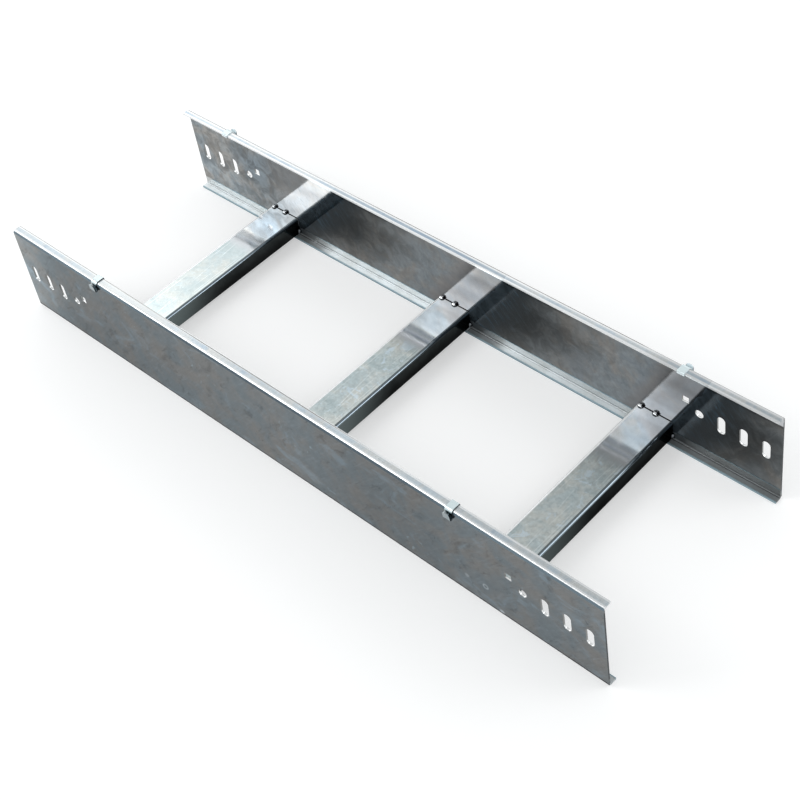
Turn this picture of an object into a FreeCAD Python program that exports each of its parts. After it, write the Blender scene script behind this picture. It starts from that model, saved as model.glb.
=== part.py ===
import FreeCAD, Part
import os
import Sketcher
from FreeCAD import Placement, Rotation, Vector

# Cable ladder section: two bent channel rails, three lipped channel rungs tack-welded between them,
# and four bent sheet clips hooked over the rails' top flanges. Millimetres, +Z up, X along the rails,
# origin on the floor under the middle of the ladder.

document = FreeCAD.newDocument("cable_ladder")

# Driving dimensions
SIZES = [
    ("rail_length", 772.0, "length of each side rail"),
    ("ladder_width", 248.0, "over the outer faces of the two rails"),
    ("rail_height", 107.0, "height of a rail over its flanges"),
    ("rail_sheet", 2.0, "thickness of the rail's sheet"),
    ("flange_width", 9.5, "width of a flange from the web's outer face to its tip"),
    ("bend_inside", 1.5, "inside radius of the rail's bends"),
    ("slot_width", 8.5, "width of the upright bolt slots"),
    ("slot_length", 21.0, "end-to-end length of the bolt slots"),
    ("bolt_hole", 9.0, "diameter of the round bolt hole"),
    ("coach_hole", 7.5, "side of the square hole for a coach bolt"),
    ("hole_margin", 16.0, "from the rail's end to the first slot's centre"),
    ("hole_pitch", 23.5, "between slot centres, and on to the round hole"),
    ("coach_step", 15.0, "from the round hole to the square one, along the rail"),
    ("hole_level", 54.5, "height of the row of slots above the rail's bottom"),
    ("coach_rise", 10.0, "height of the square hole above that row"),
    ("rung_pitch", 250.0, "between rung centres"),
    ("rung_width", 41.0, "width of a rung's flat top"),
    ("rung_depth", 21.0, "height of a rung's section"),
    ("rung_sheet", 1.5, "thickness of the rung's sheet"),
    ("rung_lip", 9.5, "width of a rung's in-turned bottom lips"),
    ("rung_bend", 1.0, "inside radius of the rung's bends"),
    ("rung_gap", 0.8, "between a rung's end and the web"),
    ("rung_rise", 1.0, "between a rung's underside and the flange below it"),
    ("bead_length", 5.5, "length of a tack weld bead"),
    ("bead_radius", 2.2, "radius of a bead across its length"),
    ("bead_taper", 1.4, "length of a bead's tapered ends"),
    ("bead_left", 16.0, "from a rung's middle to the left bead on its top edge"),
    ("bead_right", 1.0, "from a rung's middle to the right bead on its top edge"),
    ("clip_width", 8.0, "width of a clip along the rail"),
    ("clip_sheet", 1.0, "thickness of the clip's sheet"),
    ("clip_clearance", 0.1, "between a clip and the flange inside it"),
    ("clip_hook", 4.0, "reach of the clip's hook under the flange"),
    ("clip_leg", 6.0, "from the end of the rail's bend down to the bottom of the clip's turn"),
    ("clip_gap", 1.2, "between the clip's leg and its finger tab, at the turn"),
    ("clip_tab", 9.0, "height of the finger tab over the bottom of the turn"),
    ("clip_flare", 0.8, "how much further out the tab's end stands than its foot"),
    ("clip_bend", 0.5, "inside radius of the turn's two bends"),
    ("clip_nose", 3.2, "corner radius of the finger tab's rounded end"),
    ("clip_near_1", -250.5, "place of the first clip on the near rail"),
    ("clip_near_2", 224.5, "place of the second clip on the near rail"),
    ("clip_far_1", -316.5, "place of the first clip on the far rail"),
    ("clip_far_2", 286.0, "place of the second clip on the far rail"),
]

sheet = document.addObject("Spreadsheet::Sheet", "sizes")
size = {}
for row, (alias, value, meaning) in enumerate(SIZES, start=1):
    sheet.set(f"A{row}", meaning)
    sheet.set(f"B{row}", str(value))
    sheet.setAlias(f"B{row}", alias)
    size[alias] = value
document.recompute()

ORIGIN = (-1, 1)
RUNG_LENGTH = "sizes.ladder_width - 2 * sizes.rail_sheet - 2 * sizes.rung_gap"
RAIL_CORNER = "(sizes.bend_inside + sizes.rail_sheet)"
TURN_LEVEL = f"sizes.rail_height - {RAIL_CORNER} - sizes.clip_leg"
TAB_SHEET = "sizes.clip_sheet * sqrt(1 + (sizes.clip_flare / sizes.clip_tab) ^ 2)"


def new_body(label):
    """An empty body whose label becomes the name of its file."""
    body = document.addObject("PartDesign::Body", label)
    body.Label = label
    return body


def origin_plane(body, role):
    """One of the body's own origin planes, such as XY_Plane."""
    return next(plane for plane in body.Origin.OriginFeatures if plane.Role == role)


def new_sketch(body, name, role):
    """An empty sketch lying flat on one of the body's origin planes."""
    sketch = body.newObject("Sketcher::SketchObject", name)
    sketch.AttachmentSupport = (origin_plane(body, role), [""])
    sketch.MapMode = "FlatFace"
    return sketch


def draw_outline(sketch, corners):
    """Closed loop of straight lines through the corners; level and upright ones are held so.
    Returns the sketch's references to the corners."""
    first = sketch.GeometryCount
    count = len(corners)
    for index, (across, up) in enumerate(corners):
        next_across, next_up = corners[(index + 1) % count]
        line = Part.LineSegment(Vector(across, up, 0), Vector(next_across, next_up, 0))
        sketch.addGeometry(line, False)
    for index, (across, up) in enumerate(corners):
        next_across, next_up = corners[(index + 1) % count]
        following = first + (index + 1) % count
        sketch.addConstraint(Sketcher.Constraint("Coincident", first + index, 2, following, 1))
        if up == next_up:
            sketch.addConstraint(Sketcher.Constraint("Horizontal", first + index))
        if across == next_across:
            sketch.addConstraint(Sketcher.Constraint("Vertical", first + index))
    return [(first + index, 1) for index in range(count)]


def bind(sketch, name, kind, references, value, formula):
    """A named dimension of the sketch, driven by a formula of the sheet's values."""
    constraint = Sketcher.Constraint(kind, *references, value)
    number = sketch.addConstraint(constraint)
    sketch.renameConstraint(number, name)
    sketch.setExpression(f"Constraints.{name}", formula)


def span(sketch, name, axis, low, high, value, formula):
    """A level (X) or upright (Y) distance from the low point to the high one."""
    bind(sketch, name, "Distance" + axis, (*low, *high), value, formula)


def pad(body, name, sketch, length):
    """Thickness given to a sketch evenly on both sides of its plane."""
    feature = body.newObject("PartDesign::Pad", name)
    feature.Profile = sketch
    feature.SideType = "Symmetric"
    feature.setExpression("Length", length)
    body.Tip = feature
    document.recompute()
    return feature


def edges_at(shape, direction, places):
    """Names of the straight edges along a direction that pass through the given places.
    A place has None for the coordinate that runs along the edge."""
    names = []
    for number, edge in enumerate(shape.Edges, start=1):
        if edge.Curve.TypeId != "Part::GeomLine":
            continue
        if abs(edge.tangentAt(edge.FirstParameter).dot(direction)) < 0.999:
            continue
        middle = edge.CenterOfMass
        for place in places:
            offsets = [abs(a - b) for a, b in zip(middle, place) if b is not None]
            if max(offsets) < 0.01:
                names.append(f"Edge{number}")
    return names


def fillet(body, name, base, direction, places, radius):
    """Bend radius on the straight edges at the given places."""
    feature = body.newObject("PartDesign::Fillet", name)
    names = edges_at(base.Shape, direction, places)
    if len(names) != len(places):
        raise ValueError(f"{name}: {len(names)} edges found for {len(places)} corners")
    feature.Base = (base, names)
    feature.setExpression("Radius", radius)
    body.Tip = feature
    document.recompute()
    return feature


def must_cut(before, after, name):
    """Stops if a pocket took nothing away."""
    if after.Shape.Volume > before.Shape.Volume - 0.1:
        raise ValueError(f"{name} cut nothing")


# Side rail

def draw_slot(sketch, name, level, previous, step):
    """Upright slot with half-round ends. previous is the centre it is spaced from, step its formula.
    Returns the reference to the lower arc's centre."""
    first = sketch.GeometryCount
    radius = size["slot_width"] / 2
    straight = size["slot_length"] - size["slot_width"]
    centre = previous["across"] + previous["step"]
    low = Vector(centre, level - straight / 2, 0)
    high = Vector(centre, level + straight / 2, 0)
    half_turn = 3.141592653589793
    circle_low = Part.Circle(low, Vector(0, 0, 1), radius)
    circle_high = Part.Circle(high, Vector(0, 0, 1), radius)
    side = Vector(radius, 0, 0)
    sketch.addGeometry(Part.ArcOfCircle(circle_low, half_turn, 2 * half_turn), False)
    sketch.addGeometry(Part.LineSegment(low + side, high + side), False)
    sketch.addGeometry(Part.ArcOfCircle(circle_high, 0, half_turn), False)
    sketch.addGeometry(Part.LineSegment(high - side, low - side), False)
    low_arc, right, high_arc, left = range(first, first + 4)
    sketch.addConstraint(Sketcher.Constraint("Tangent", low_arc, 2, right, 1))
    sketch.addConstraint(Sketcher.Constraint("Tangent", right, 2, high_arc, 1))
    sketch.addConstraint(Sketcher.Constraint("Tangent", high_arc, 2, left, 1))
    sketch.addConstraint(Sketcher.Constraint("Tangent", left, 2, low_arc, 1))
    sketch.addConstraint(Sketcher.Constraint("Vertical", right))
    bind(sketch, name + "_radius", "Radius", (low_arc,), radius, "sizes.slot_width / 2")
    span(sketch, name + "_straight", "Y", (low_arc, 3), (high_arc, 3), straight,
         "sizes.slot_length - sizes.slot_width")
    span(sketch, name + "_level", "Y", ORIGIN, (low_arc, 3), level - straight / 2,
         "sizes.hole_level - (sizes.slot_length - sizes.slot_width) / 2")
    span(sketch, name + "_place", "X", previous["point"], (low_arc, 3), centre - previous["from"], step)
    return low_arc, 3


def draw_end_holes(sketch):
    """The holes of the rail's left end: three upright slots, a round hole and a square one."""
    level = size["hole_level"]
    inner_end = size["rail_length"] / 2
    # The row starts at the square hole, which is nearest the rail's middle.
    reach = size["hole_margin"] + 3 * size["hole_pitch"]
    round_place = inner_end - reach
    half = size["coach_hole"] / 2
    square_place = round_place - size["coach_step"]
    square_level = level + size["coach_rise"]
    corners = draw_outline(sketch, [
        (square_place - half, square_level - half),
        (square_place + half, square_level - half),
        (square_place + half, square_level + half),
        (square_place - half, square_level + half),
    ])
    span(sketch, "coach_side", "X", corners[0], corners[1], 2 * half, "sizes.coach_hole")
    span(sketch, "coach_height", "Y", corners[1], corners[2], 2 * half, "sizes.coach_hole")
    span(sketch, "coach_place", "X", ORIGIN, corners[0], square_place - half,
         "sizes.rail_length / 2 - sizes.hole_margin - 3 * sizes.hole_pitch"
         " - sizes.coach_step - sizes.coach_hole / 2")
    span(sketch, "coach_level", "Y", ORIGIN, corners[0], square_level - half,
         "sizes.hole_level + sizes.coach_rise - sizes.coach_hole / 2")
    circle = sketch.addGeometry(
        Part.Circle(Vector(round_place, level, 0), Vector(0, 0, 1), size["bolt_hole"] / 2), False)
    bind(sketch, "bolt_radius", "Radius", (circle,), size["bolt_hole"] / 2, "sizes.bolt_hole / 2")
    span(sketch, "bolt_level", "Y", ORIGIN, (circle, 3), level, "sizes.hole_level")
    span(sketch, "bolt_place", "X", ORIGIN, (circle, 3), round_place,
         "sizes.rail_length / 2 - sizes.hole_margin - 3 * sizes.hole_pitch")
    previous = {"point": (circle, 3), "from": round_place}
    for number in (3, 2, 1):
        previous["across"] = previous["from"]
        previous["step"] = size["hole_pitch"]
        point = draw_slot(sketch, f"slot_{number}", level, previous, "sizes.hole_pitch")
        previous = {"point": point, "from": previous["across"] + size["hole_pitch"]}


def make_rail(label, turned):
    """Side rail. Its own frame has the web's outer face at y = 0 and the flanges towards +y."""
    body = new_body(label)
    height = size["rail_height"]
    flange = size["flange_width"]
    wall = size["rail_sheet"]
    section = new_sketch(body, label + "_section", "YZ_Plane")
    corners = draw_outline(section, [
        (0, 0), (0, height), (flange, height), (flange, height - wall),
        (wall, height - wall), (wall, wall), (flange, wall), (flange, 0),
    ])
    section.addConstraint(Sketcher.Constraint("Coincident", *corners[0], *ORIGIN))
    span(section, "height", "Y", corners[0], corners[1], height, "sizes.rail_height")
    span(section, "top_flange", "X", corners[1], corners[2], flange, "sizes.flange_width")
    span(section, "bottom_flange", "X", corners[0], corners[7], flange, "sizes.flange_width")
    span(section, "top_sheet", "Y", corners[3], corners[2], wall, "sizes.rail_sheet")
    span(section, "bottom_sheet", "Y", corners[7], corners[6], wall, "sizes.rail_sheet")
    span(section, "web_sheet", "X", corners[0], corners[5], wall, "sizes.rail_sheet")
    channel = pad(body, label + "_channel", section, "sizes.rail_length")
    along = Vector(1, 0, 0)
    outer = fillet(body, label + "_outer_bends", channel, along,
                   [(None, 0, 0), (None, 0, height)], "sizes.bend_inside + sizes.rail_sheet")
    bent = fillet(body, label + "_inner_bends", outer, along,
                  [(None, wall, wall), (None, wall, height - wall)], "sizes.bend_inside")
    holes = new_sketch(body, label + "_end_holes", "XZ_Plane")
    draw_end_holes(holes)
    punched = body.newObject("PartDesign::Pocket", label + "_punching")
    punched.Profile = holes
    punched.Type = "Length"
    punched.setExpression("Length", "2 * sizes.rail_sheet")
    body.Tip = punched
    document.recompute()
    must_cut(bent, punched, label + " punching")
    other_end = body.newObject("PartDesign::Mirrored", label + "_other_end")
    other_end.Originals = [punched]
    other_end.MirrorPlane = (origin_plane(body, "YZ_Plane"), [""])
    body.Tip = other_end
    document.recompute()
    must_cut(punched, other_end, label + " other end")
    place_on_side(body, turned)
    return body


def place_on_side(body, turned):
    """Puts a body drawn in the rail's frame on the near side, or turned round on the far side."""
    if turned:
        body.Placement = Placement(Vector(0, 0, 0), Rotation(Vector(0, 0, 1), 180))
        body.setExpression("Placement.Base.y", "sizes.ladder_width / 2")
    else:
        body.setExpression("Placement.Base.y", "-sizes.ladder_width / 2")


# Rung

def add_bead(body, name, upright, place_across, place_up):
    """Bead of weld metal that bridges the gap between a rung's end and the web: a round bar with
    tapered ends, turned about an axis that runs along the rail, or upright."""
    sketch = new_sketch(body, name + "_outline", "XZ_Plane" if upright else "XY_Plane")
    half = size["bead_length"] / 2
    radius = size["bead_radius"]
    body_half = half - size["bead_taper"]
    neck = radius / 2
    along = [(-half, 0), (half, 0), (half, neck), (body_half, radius), (-body_half, radius),
             (-half, neck)]
    level = "(" + RUNG_LENGTH + ") / 2 - sizes.bead_radius / 4"
    if upright:
        corners = draw_outline(sketch, [(out, place) for place, out in along])
        lengthwise, outward = "Y", "X"
        sketch.setExpression("AttachmentOffset.Base.x", place_across)
        sketch.setExpression("AttachmentOffset.Base.y", place_up)
        sketch.setExpression("AttachmentOffset.Base.z", f"-({level})")
    else:
        corners = draw_outline(sketch, along)
        lengthwise, outward = "X", "Y"
        sketch.setExpression("AttachmentOffset.Base.x", place_across)
        sketch.setExpression("AttachmentOffset.Base.y", level)
        sketch.setExpression("AttachmentOffset.Base.z", place_up)
    # One bead's axis is a sketch axis, so its first corner only needs its place along that axis.
    sketch.addConstraint(Sketcher.Constraint("PointOnObject", *corners[0], -2 if upright else -1))
    span(sketch, "half", lengthwise, corners[0], ORIGIN, half, "sizes.bead_length / 2")
    span(sketch, "length", lengthwise, corners[0], corners[1], 2 * half, "sizes.bead_length")
    span(sketch, "neck", outward, corners[1], corners[2], neck, "sizes.bead_radius / 2")
    span(sketch, "taper", lengthwise, corners[3], corners[2], size["bead_taper"], "sizes.bead_taper")
    span(sketch, "radius", outward, corners[1], corners[3], radius, "sizes.bead_radius")
    span(sketch, "other_taper", lengthwise, corners[5], corners[4], size["bead_taper"],
         "sizes.bead_taper")
    span(sketch, "other_neck", outward, corners[0], corners[5], neck, "sizes.bead_radius / 2")
    bead = body.newObject("PartDesign::Revolution", name)
    bead.Profile = sketch
    bead.ReferenceAxis = (sketch, ["V_Axis" if upright else "H_Axis"])
    bead.Angle = 360
    body.Tip = bead
    document.recompute()
    return bead


def make_rung(label, place):
    """Lipped channel, open downwards, with its tack beads trimmed flush against the webs."""
    body = new_body(label)
    half = size["rung_width"] / 2
    depth = size["rung_depth"]
    wall = size["rung_sheet"]
    lip = size["rung_lip"]
    section = new_sketch(body, label + "_section", "XZ_Plane")
    corners = draw_outline(section, [
        (-half, 0), (-half, depth), (half, depth), (half, 0), (half - lip, 0), (half - lip, wall),
        (half - wall, wall), (half - wall, depth - wall), (-half + wall, depth - wall),
        (-half + wall, wall), (-half + lip, wall), (-half + lip, 0),
    ])
    section.addConstraint(Sketcher.Constraint("PointOnObject", *corners[0], -1))
    section.addConstraint(Sketcher.Constraint("PointOnObject", *corners[3], -1))
    span(section, "left_half", "X", corners[0], ORIGIN, half, "sizes.rung_width / 2")
    span(section, "width", "X", corners[0], corners[3], 2 * half, "sizes.rung_width")
    span(section, "depth", "Y", corners[0], corners[1], depth, "sizes.rung_depth")
    span(section, "right_lip", "X", corners[4], corners[3], lip, "sizes.rung_lip")
    span(section, "left_lip", "X", corners[0], corners[11], lip, "sizes.rung_lip")
    span(section, "right_lip_sheet", "Y", corners[4], corners[5], wall, "sizes.rung_sheet")
    span(section, "left_lip_sheet", "Y", corners[11], corners[10], wall, "sizes.rung_sheet")
    span(section, "right_wall", "X", corners[6], corners[3], wall, "sizes.rung_sheet")
    span(section, "left_wall", "X", corners[0], corners[9], wall, "sizes.rung_sheet")
    span(section, "top_wall", "Y", corners[7], corners[2], wall, "sizes.rung_sheet")
    channel = pad(body, label + "_channel", section, RUNG_LENGTH)
    along = Vector(0, 1, 0)
    outer = fillet(body, label + "_outer_bends", channel, along,
                   [(-half, None, 0), (-half, None, depth), (half, None, 0), (half, None, depth)],
                   "sizes.rung_bend + sizes.rung_sheet")
    bent = fillet(body, label + "_inner_bends", outer, along,
                  [(x, None, z) for x in (wall - half, half - wall) for z in (wall, depth - wall)],
                  "sizes.rung_bend")
    beads = [
        add_bead(body, label + "_bead_left", False, "-sizes.bead_left", "sizes.rung_depth"),
        add_bead(body, label + "_bead_right", False, "sizes.bead_right", "sizes.rung_depth"),
        add_bead(body, label + "_bead_side", True, "sizes.rung_width / 2",
                 "sizes.bend_inside + sizes.bead_length / 2"),
    ]
    both_ends = body.newObject("PartDesign::Mirrored", label + "_both_ends")
    both_ends.Originals = beads
    both_ends.MirrorPlane = (origin_plane(body, "XZ_Plane"), [""])
    body.Tip = both_ends
    document.recompute()
    trim_beads(body, label, both_ends)
    body.setExpression("Placement.Base.x", f"{place} * sizes.rung_pitch")
    body.setExpression("Placement.Base.z", "sizes.rail_sheet + sizes.rung_rise")
    return body


def trim_beads(body, label, base):
    """Cuts the beads off along the inner faces of the two webs."""
    inner = size["ladder_width"] / 2 - size["rail_sheet"]
    beyond = 2 * size["bead_radius"]
    half = size["rung_width"] / 2 + beyond
    sketch = new_sketch(body, label + "_web_faces", "XY_Plane")
    for side, (low, high) in (("far", (inner, inner + beyond)), ("near", (-inner - beyond, -inner))):
        corners = draw_outline(sketch, [(-half, low), (half, low), (half, high), (-half, high)])
        span(sketch, side + "_left", "X", corners[0], ORIGIN, half,
             "sizes.rung_width / 2 + 2 * sizes.bead_radius")
        span(sketch, side + "_width", "X", corners[0], corners[1], 2 * half,
             "sizes.rung_width + 4 * sizes.bead_radius")
        span(sketch, side + "_beyond", "Y", corners[1], corners[2], beyond, "2 * sizes.bead_radius")
        face = "sizes.ladder_width / 2 - sizes.rail_sheet"
        if side == "far":
            span(sketch, side + "_face", "Y", ORIGIN, corners[0], inner, face)
        else:
            span(sketch, side + "_face", "Y", corners[3], ORIGIN, inner, face)
    trimmed = body.newObject("PartDesign::Pocket", label + "_trimming")
    trimmed.Profile = sketch
    trimmed.Type = "Length"
    trimmed.Reversed = True
    trimmed.setExpression("Length", "sizes.rung_depth + 2 * sizes.bead_radius")
    body.Tip = trimmed
    document.recompute()
    must_cut(base, trimmed, label + " trimming")


# Clip

def round_nose(body, label, base):
    """Trims the two upper corners of the finger tab to a rounded end, seen from outside."""
    sketch = new_sketch(body, label + "_tab_corners", "XZ_Plane")
    sketch.setExpression("AttachmentOffset.Base.z",
                         "sizes.clip_clearance + sizes.clip_sheet + sizes.clip_gap / 2")
    radius = size["clip_nose"]
    half = size["clip_width"] / 2
    corner = size["bend_inside"] + size["rail_sheet"]
    end = size["rail_height"] - corner - size["clip_leg"] + size["clip_tab"]
    beyond = size["clip_sheet"]
    level = end - radius
    outward = Vector(0, 0, 1)
    quarter = 1.5707963267948966
    right = Part.Circle(Vector(half - radius, level, 0), outward, radius)
    left = Part.Circle(Vector(-half + radius, level, 0), outward, radius)
    outside = [(-half, level), (-half - beyond, level), (-half - beyond, end + beyond),
               (half + beyond, end + beyond), (half + beyond, level), (half, level)]
    sketch.addGeometry(Part.ArcOfCircle(right, 0, quarter), False)
    sketch.addGeometry(Part.LineSegment(Vector(half - radius, end, 0), Vector(-half + radius, end, 0)),
                       False)
    sketch.addGeometry(Part.ArcOfCircle(left, quarter, 2 * quarter), False)
    for start, stop in zip(outside, outside[1:]):
        sketch.addGeometry(Part.LineSegment(Vector(*start, 0), Vector(*stop, 0)), False)
    sketch.addConstraint(Sketcher.Constraint("Tangent", 0, 2, 1, 1))
    sketch.addConstraint(Sketcher.Constraint("Tangent", 1, 2, 2, 1))
    for line in range(2, 8):
        sketch.addConstraint(Sketcher.Constraint("Coincident", line, 2, (line + 1) % 8, 1))
    for line in (1, 3, 5, 7):
        sketch.addConstraint(Sketcher.Constraint("Horizontal", line))
    for line in (4, 6):
        sketch.addConstraint(Sketcher.Constraint("Vertical", line))
    sketch.addConstraint(Sketcher.Constraint("Equal", 0, 2))
    sketch.addConstraint(Sketcher.Constraint("Horizontal", 0, 1, 0, 3))
    sketch.addConstraint(Sketcher.Constraint("Horizontal", 2, 2, 2, 3))
    bind(sketch, "radius", "Radius", (0,), radius, "sizes.clip_nose")
    span(sketch, "right_centre", "X", ORIGIN, (0, 3), half - radius,
         "sizes.clip_width / 2 - sizes.clip_nose")
    span(sketch, "centres", "X", (2, 3), (0, 3), 2 * (half - radius),
         "sizes.clip_width - 2 * sizes.clip_nose")
    span(sketch, "level", "Y", ORIGIN, (0, 3), level,
         TURN_LEVEL + " + sizes.clip_tab - sizes.clip_nose")
    span(sketch, "left_beyond", "X", (3, 2), (3, 1), beyond, "sizes.clip_sheet")
    span(sketch, "right_beyond", "X", (7, 2), (7, 1), beyond, "sizes.clip_sheet")
    span(sketch, "end_beyond", "Y", (4, 1), (4, 2), radius + beyond,
         "sizes.clip_nose + sizes.clip_sheet")
    rounded = body.newObject("PartDesign::Pocket", label + "_nose")
    rounded.Profile = sketch
    rounded.Type = "Length"
    rounded.Reversed = True
    rounded.setExpression("Length", "sizes.clip_gap + 2 * sizes.clip_sheet + sizes.clip_flare")
    body.Tip = rounded
    document.recompute()
    must_cut(base, rounded, label + " nose")


def make_clip(label, turned):
    """Bent sheet clip, drawn in the rail's frame: a hook under the flange's tip, a strap over the
    flange, a leg outside the web, and a finger tab that turns back up and stands off from the leg."""
    body = new_body(label)
    top = size["rail_height"]
    tip = size["flange_width"]
    clear = size["clip_clearance"]
    wall = size["clip_sheet"]
    under = top - size["rail_sheet"] - clear
    hook = tip - size["clip_hook"]
    corner = size["bend_inside"] + size["rail_sheet"]
    turn = top - corner - size["clip_leg"]
    flare = size["clip_flare"]
    tab = size["clip_tab"]
    tab_sheet = wall * (1 + (flare / tab) ** 2) ** 0.5
    inside = size["clip_gap"] + wall * flare / tab
    tab_foot = clear + wall + size["clip_gap"] + tab_sheet
    section = new_sketch(body, label + "_section", "YZ_Plane")
    corners = draw_outline(section, [
        (hook, under), (tip + clear, under), (tip + clear, top + clear), (-clear, top + clear),
        (-clear, turn), (-tab_foot, turn), (-tab_foot - flare, turn + tab),
        (-tab_foot - flare + tab_sheet, turn + tab), (-clear - wall - inside, turn + wall),
        (-clear - wall, turn + wall), (-clear - wall, top + clear + wall),
        (tip + clear + wall, top + clear + wall), (tip + clear + wall, under - wall),
        (hook, under - wall),
    ])
    span(section, "hook_place", "X", ORIGIN, corners[0], hook, "sizes.flange_width - sizes.clip_hook")
    span(section, "hook_level", "Y", ORIGIN, corners[0], under,
         "sizes.rail_height - sizes.rail_sheet - sizes.clip_clearance")
    span(section, "tip_place", "X", ORIGIN, corners[1], tip + clear,
         "sizes.flange_width + sizes.clip_clearance")
    span(section, "strap_level", "Y", ORIGIN, corners[2], top + clear,
         "sizes.rail_height + sizes.clip_clearance")
    span(section, "leg_place", "X", corners[3], ORIGIN, clear, "sizes.clip_clearance")
    span(section, "turn_level", "Y", ORIGIN, corners[4], turn, TURN_LEVEL)
    span(section, "turn_width", "X", corners[5], corners[4], tab_foot - clear,
         "sizes.clip_sheet + sizes.clip_gap + " + TAB_SHEET)
    span(section, "tab_height", "Y", corners[5], corners[6], tab, "sizes.clip_tab")
    span(section, "tab_flare", "X", corners[6], corners[5], flare, "sizes.clip_flare")
    span(section, "tab_sheet", "X", corners[6], corners[7], tab_sheet, TAB_SHEET)
    span(section, "turn_inside", "X", corners[8], corners[9], inside,
         "sizes.clip_gap + sizes.clip_sheet * sizes.clip_flare / sizes.clip_tab")
    span(section, "turn_sheet", "Y", corners[4], corners[9], wall, "sizes.clip_sheet")
    span(section, "leg_sheet", "X", corners[9], corners[4], wall, "sizes.clip_sheet")
    span(section, "strap_sheet", "Y", corners[3], corners[10], wall, "sizes.clip_sheet")
    span(section, "tip_sheet", "X", corners[1], corners[12], wall, "sizes.clip_sheet")
    span(section, "hook_sheet", "Y", corners[13], corners[0], wall, "sizes.clip_sheet")
    strap = pad(body, label + "_strap", section, "sizes.clip_width")
    along = Vector(1, 0, 0)
    bends = fillet(body, label + "_corner_inside", strap, along,
                   [(None, -clear, top + clear)], RAIL_CORNER + " + sizes.clip_clearance")
    bends = fillet(body, label + "_corner_outside", bends, along,
                   [(None, -clear - wall, top + clear + wall)],
                   RAIL_CORNER + " + sizes.clip_clearance + sizes.clip_sheet")
    bends = fillet(body, label + "_turn_inside", bends, along,
                   [(None, -clear - wall, turn + wall), (None, -clear - wall - inside, turn + wall)],
                   "sizes.clip_bend")
    bends = fillet(body, label + "_turn_outside", bends, along,
                   [(None, -clear, turn), (None, -tab_foot, turn)],
                   "sizes.clip_bend + sizes.clip_sheet")
    # Three clearances is the largest round that a square flange tip still fits into.
    crimps = fillet(body, label + "_crimps_inside", bends, along,
                    [(None, tip + clear, under), (None, tip + clear, top + clear)],
                    "3 * sizes.clip_clearance")
    crimps = fillet(body, label + "_crimps_outside", crimps, along,
                    [(None, tip + clear + wall, z) for z in (under - wall, top + clear + wall)],
                    "3 * sizes.clip_clearance + sizes.clip_sheet")
    round_nose(body, label, crimps)
    place_on_side(body, turned)
    body.setExpression("Placement.Base.x", "sizes." + label)
    return body


nodes = [make_rail("rail_near", False), make_rail("rail_far", True)]
for number, place in ((1, -1), (2, 0), (3, 1)):
    nodes.append(make_rung(f"rung_{number}", place))
for label, turned in (("clip_near_1", False), ("clip_near_2", False),
                      ("clip_far_1", True), ("clip_far_2", True)):
    nodes.append(make_clip(label, turned))
document.recompute()

for item in document.Objects:
    if "Invalid" in item.State or "Error" in item.State:
        raise ValueError(f"{item.Name} failed: {item.State}")
for node in nodes:
    if node.Shape.isNull() or not node.Shape.isValid() or len(node.Shape.Solids) != 1:
        raise ValueError(f"{node.Label} has no single valid solid")

os.makedirs("parts", exist_ok=True)
for node in nodes:
    node.Shape.exportStep(f"parts/{node.Label}.step")
    box = node.Shape.BoundBox
    print(f"{node.Label}: {node.Shape.Volume / 1000:.1f} cm3, x {box.XMin:.1f} to {box.XMax:.1f},"
          f" y {box.YMin:.1f} to {box.YMax:.1f}, z {box.ZMin:.1f} to {box.ZMax:.1f}")
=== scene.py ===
# %% [markdown]
# # A galvanised cable ladder section
#
# The ladder is two folded steel side rails, three rungs tack-welded between them and four small
# clips on the flanges. Its shapes are all sheet metal of known size, so they come from the packed
# frame, and this lesson gives them their zinc finish, their small marks, the floor, the light and
# the camera. Everything is in metres: X runs along the rails, Y from the near rail to the far
# rail, Z up, and the origin is on the floor under the middle of the ladder.

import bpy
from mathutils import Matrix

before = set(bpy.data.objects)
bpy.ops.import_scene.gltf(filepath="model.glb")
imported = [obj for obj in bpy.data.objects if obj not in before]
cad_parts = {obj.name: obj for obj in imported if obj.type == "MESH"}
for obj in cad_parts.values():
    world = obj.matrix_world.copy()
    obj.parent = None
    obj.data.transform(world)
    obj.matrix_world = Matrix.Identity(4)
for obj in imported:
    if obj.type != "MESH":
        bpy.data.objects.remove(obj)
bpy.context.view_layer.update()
print("the frame holds", ", ".join(sorted(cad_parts)))

# %% Modules
import math

import bmesh
import bpy
from mathutils import Matrix, Vector

print("this is Blender", bpy.app.version_string)

# %% [markdown]
# ## Camera
#
# The ladder was photographed from the front right, from well above and fairly close, so the rails
# run together towards the top left. The camera stands where the measured corners of the rails,
# rungs and holes say it stood. The photographer's frame lies lower than the line of sight, which a
# small downward shift of the lens repeats without tilting the camera further.

# %% Camera
camera_place = Vector((0.88656, -0.68838, 1.16155))
right = Vector((0.723594, 0.678045, -0.129099))
up = Vector((-0.395064, 0.560226, 0.72806))
back = Vector((0.565982, -0.475817, 0.673248))

camera = bpy.data.objects.new("camera", bpy.data.cameras.new("camera"))
bpy.context.scene.collection.objects.link(camera)
bpy.context.scene.camera = camera
camera.data.sensor_width = 36.0
camera.data.lens = 73.63
camera.data.shift_y = -0.15
camera.data.clip_start = 0.05
camera.data.clip_end = 60.0
turn = Matrix((right, up, back)).transposed()
camera.matrix_world = Matrix.Translation(camera_place) @ turn.to_4x4()
print("camera is", round(camera_place.length, 3), "m from the middle of the floor under the ladder")

# %% [markdown]
# ## Places on the ladder
#
# The marks on the zinc sit at real places: on a fold, beside a rung, inside a hole. They are laid
# by these few measures of the ladder, all in metres. The rails mirror each other, so most marks go
# by the distance out from the ladder's middle line, whichever rail they are on, and the rungs are
# alike, so marks on them go by the distance from a rung's own middle.

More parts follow.
